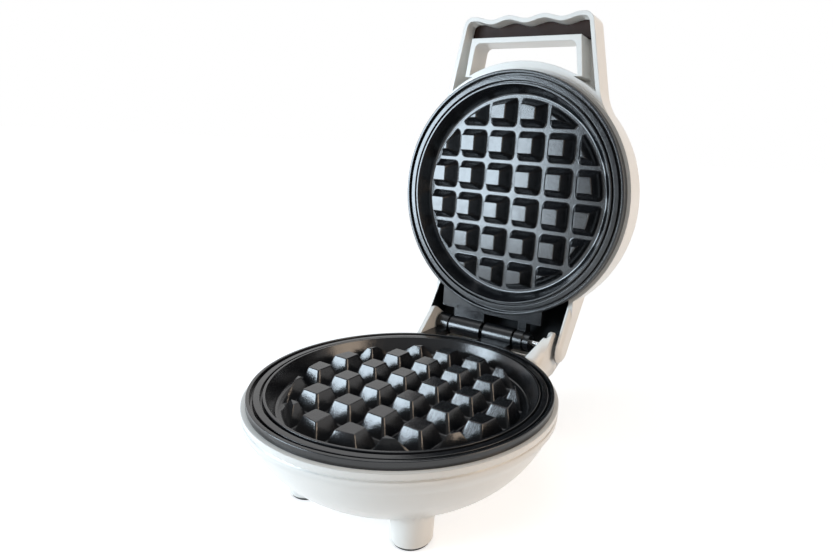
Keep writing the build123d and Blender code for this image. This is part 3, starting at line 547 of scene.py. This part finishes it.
FLOOR_HALF = 9.0
stage_face(
    "floor",
    [(across * FLOOR_HALF, along * FLOOR_HALF, 0) for across, along in ((-1, -1), (1, -1), (1, 1), (-1, 1))],
    white_stage("stage_pale", 0.6, 1.0),
)

# Light: an even pale room, one soft window at the front left, a warm wall to the right.
# The room is white to the camera; in reflections it is white behind the object and pale grey in front.
BEHIND = (-0.482, 0.876, 0.0)
ROOM_COLOR, ROOM_STRENGTH = (0.88, 0.95, 1.0), 0.22
FADE_FROM, FADE_TO, FRONT_GREY = -0.35, 0.45, 0.32
world = bpy.data.worlds.new("studio")
bpy.context.scene.world = world
world.use_nodes = True
world_nodes, world_links = world.node_tree.nodes, world.node_tree.links
room = world_nodes["Background"]
room.inputs["Color"].default_value = rgba(ROOM_COLOR)
room.inputs["Strength"].default_value = ROOM_STRENGTH
room_way = world_nodes.new("ShaderNodeTexCoord")
room_side = world_nodes.new("ShaderNodeVectorMath")
room_side.operation = "DOT_PRODUCT"
room_side.inputs[1].default_value = BEHIND
room_fade = world_nodes.new("ShaderNodeMapRange")
room_fade.interpolation_type = "SMOOTHSTEP"
room_fade.inputs["From Min"].default_value = FADE_FROM
room_fade.inputs["From Max"].default_value = FADE_TO
room_fade.inputs["To Min"].default_value = FRONT_GREY
room_fade.inputs["To Max"].default_value = 1.0
room_white = world_nodes.new("ShaderNodeBackground")
room_white.inputs["Color"].default_value = (1.0, 1.0, 1.0, 1.0)
room_mix = world_nodes.new("ShaderNodeMixShader")
room_straight = world_nodes.new("ShaderNodeLightPath")
room_glow = world_nodes.new("ShaderNodeMath")
room_glow.operation = "MAXIMUM"
world_links.new(room_way.outputs["Generated"], room_side.inputs[0])
world_links.new(room_side.outputs["Value"], room_fade.inputs["Value"])
world_links.new(room_fade.outputs["Result"], room_glow.inputs[0])
world_links.new(room_straight.outputs["Is Camera Ray"], room_glow.inputs[1])
world_links.new(room_glow.outputs["Value"], room_white.inputs["Strength"])
world_links.new(looked_at(world_nodes, world_links), room_mix.inputs["Fac"])
world_links.new(room.outputs["Background"], room_mix.inputs[1])
world_links.new(room_white.outputs["Background"], room_mix.inputs[2])
world_links.new(room_mix.outputs["Shader"], world_nodes["World Output"].inputs["Surface"])


def soft_light(name, place, aim, width, height, radiance, color):
    """Soft panel at a place, facing a point, as bright as its radiance."""
    data = bpy.data.lights.new(name, "AREA")
    data.shape = "RECTANGLE"
    data.size = width
    data.size_y = height
    data.energy = radiance * pi * width * height
    data.color = color
    lamp = bpy.data.objects.new(name, data)
    lamp.location = place
    lamp.rotation_mode = "QUATERNION"
    lamp.rotation_quaternion = (Vector(aim) - Vector(place)).to_track_quat("-Z", "Y")
    bpy.context.scene.collection.objects.link(lamp)


soft_light("window_left", (-0.40, -0.455, 0.170), (0.0, 0.075, 0.170), 0.32, 0.26, 14.5, (0.74, 0.88, 1.0))
soft_light("wall_right", (0.85, 0.10, 0.42), (0.0, 0.05, 0.08), 0.5, 0.5, 4.6, (1.0, 0.80, 0.62))
soft_light("ceiling", (-0.05, -0.05, 1.1), (0.0, 0.04, 0.1), 0.8, 0.8, 1.3, (0.86, 0.94, 1.0))

# Camera: the photograph's own view, fitted to the rings, hinge and handle
PHOTO_WIDTH, PHOTO_HEIGHT = 833, 555
SENSOR = 36.0
FOCAL_PX = 569.56
AXIS_PX = (496.5, 257.5)
camera_place = Vector((131.29, -170.57, 137.12)) * MM
azimuth, drop, roll = radians(28.82), radians(11.15), radians(3.41)

look = Vector((-sin(azimuth) * cos(drop), cos(azimuth) * cos(drop), -sin(drop)))
level_right = look.cross(Vector((0, 0, 1))).normalized()
level_up = level_right.cross(look)
right = level_right * cos(roll) + level_up * sin(roll)
up = -level_right * sin(roll) + level_up * cos(roll)
camera_data = bpy.data.cameras.new("camera")
camera_data.sensor_width = SENSOR
camera_data.lens = FOCAL_PX / PHOTO_WIDTH * SENSOR
camera_data.shift_x = -(AXIS_PX[0] - PHOTO_WIDTH / 2) / PHOTO_WIDTH
camera_data.shift_y = (AXIS_PX[1] - PHOTO_HEIGHT / 2) / PHOTO_WIDTH
camera_data.clip_start = 0.01
camera_data.clip_end = 50.0
camera = bpy.data.objects.new("camera", camera_data)
camera.matrix_world = Matrix.Translation(camera_place) @ Matrix((right, up, -look)).transposed().to_4x4()
bpy.context.scene.collection.objects.link(camera)
bpy.context.scene.camera = camera
bpy.context.scene.view_settings.view_transform = "Standard"
